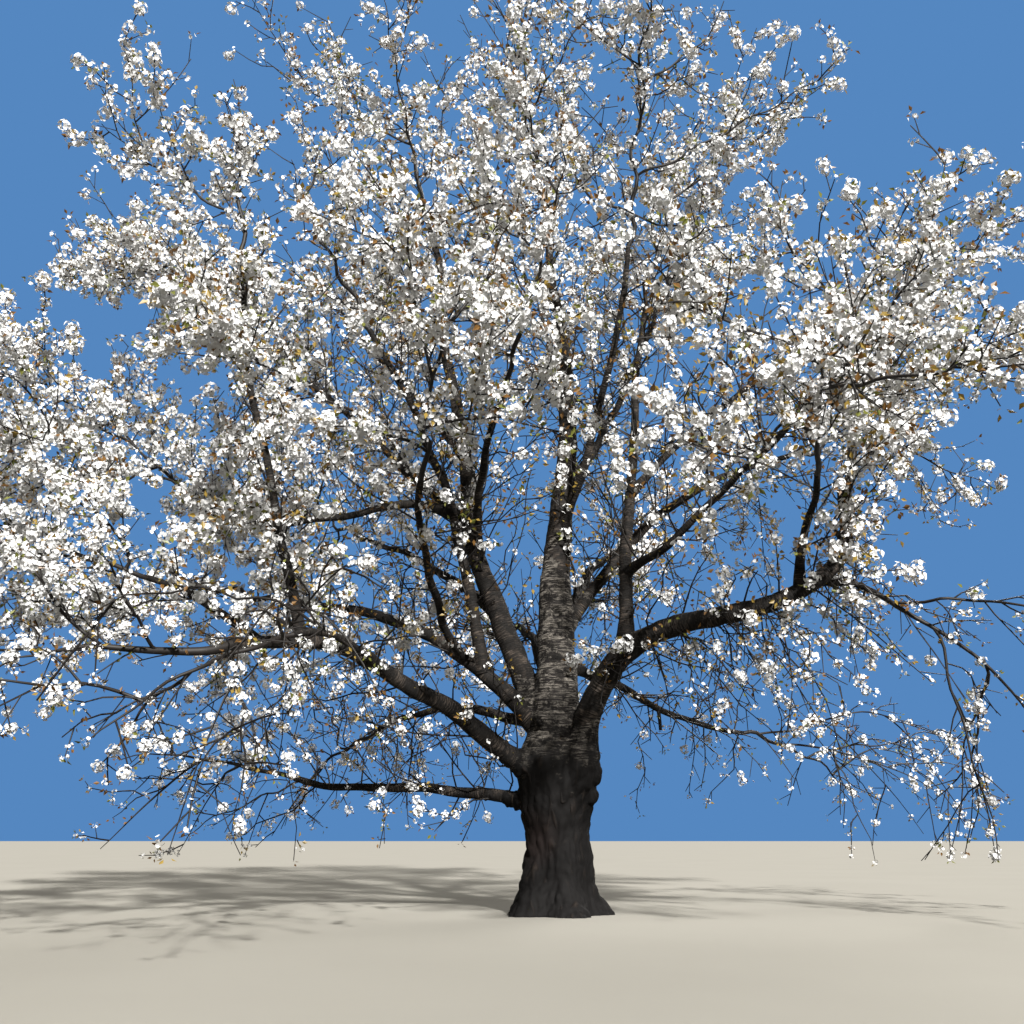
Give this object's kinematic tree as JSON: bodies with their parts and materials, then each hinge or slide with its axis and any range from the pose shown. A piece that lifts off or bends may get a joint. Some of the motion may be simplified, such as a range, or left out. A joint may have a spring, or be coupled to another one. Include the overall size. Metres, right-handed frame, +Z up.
{
  "type": "cherry blossom tree",
  "caption": "Broad, low-forking sweet cherry tree in full white bloom, with a fluted trunk, arching boughs and separate masses of flowering twigs.",
  "frame": {"origin": "centre of the flat cut under the trunk, at ground level", "axes": "+Z up, +X to the right and +Y away as the tree is seen from its front"},
  "size_m": [10.9229, 9.9948, 10.4801],
  "materials": {
    "trunk_bark": "rough, fissured bark",
    "bough_bark": "satin bark with cross bands",
    "blossom": "matt petals"
  },
  "bodies": {
    "root": {"trunk": "trunk_bark", "bough_leader": "bough_bark", "bough_left_leader": "bough_bark", "bough_right_arm": "bough_bark", "bough_right_weeping": "bough_bark", "bough_right_upright": "bough_bark", "bough_right_upper": "bough_bark", "bough_right_low": "bough_bark", "bough_right_high": "bough_bark", "bough_right_front_high": "bough_bark", "bough_right_back_high": "bough_bark", "bough_left_low": "bough_bark", "bough_left_front": "bough_bark", "bough_left_front_arc": "bough_bark", "bough_left_front_weeping": "bough_bark", "bough_left_long_shoot": "bough_bark", "bough_left_arm": "bough_bark", "bough_left_upright": "bough_bark", "bough_left_arch": "bough_bark", "bough_left_high": "bough_bark", "bough_front_shoot": "bough_bark", "bough_front_middle": "bough_bark", "bough_front_left": "bough_bark", "bough_front_right": "bough_bark", "bough_back_low": "bough_bark", "bough_back_middle": "bough_bark", "bough_back_right": "bough_bark", "bough_back_left": "bough_bark", "bough_back_high": "bough_bark", "bough_back_left_high": "bough_bark", "blossom_leader": "blossom", "blossom_left_leader": "blossom", "blossom_right_arm": "blossom", "blossom_right_weeping": "blossom", "blossom_right_upright": "blossom", "blossom_right_upper": "blossom", "blossom_right_low": "blossom", "blossom_right_high": "blossom", "blossom_right_front_high": "blossom", "blossom_right_back_high": "blossom", "blossom_left_low": "blossom", "blossom_left_front": "blossom", "blossom_left_front_arc": "blossom", "blossom_left_front_weeping": "blossom", "blossom_left_long_shoot": "blossom", "blossom_left_arm": "blossom", "blossom_left_upright": "blossom", "blossom_left_arch": "blossom", "blossom_left_high": "blossom", "blossom_front_shoot": "blossom", "blossom_front_middle": "blossom", "blossom_front_left": "blossom", "blossom_front_right": "blossom", "blossom_back_low": "blossom", "blossom_back_middle": "blossom", "blossom_back_right": "blossom", "blossom_back_left": "blossom", "blossom_back_high": "blossom", "blossom_back_left_high": "blossom"}
  },
  "joints": []
}
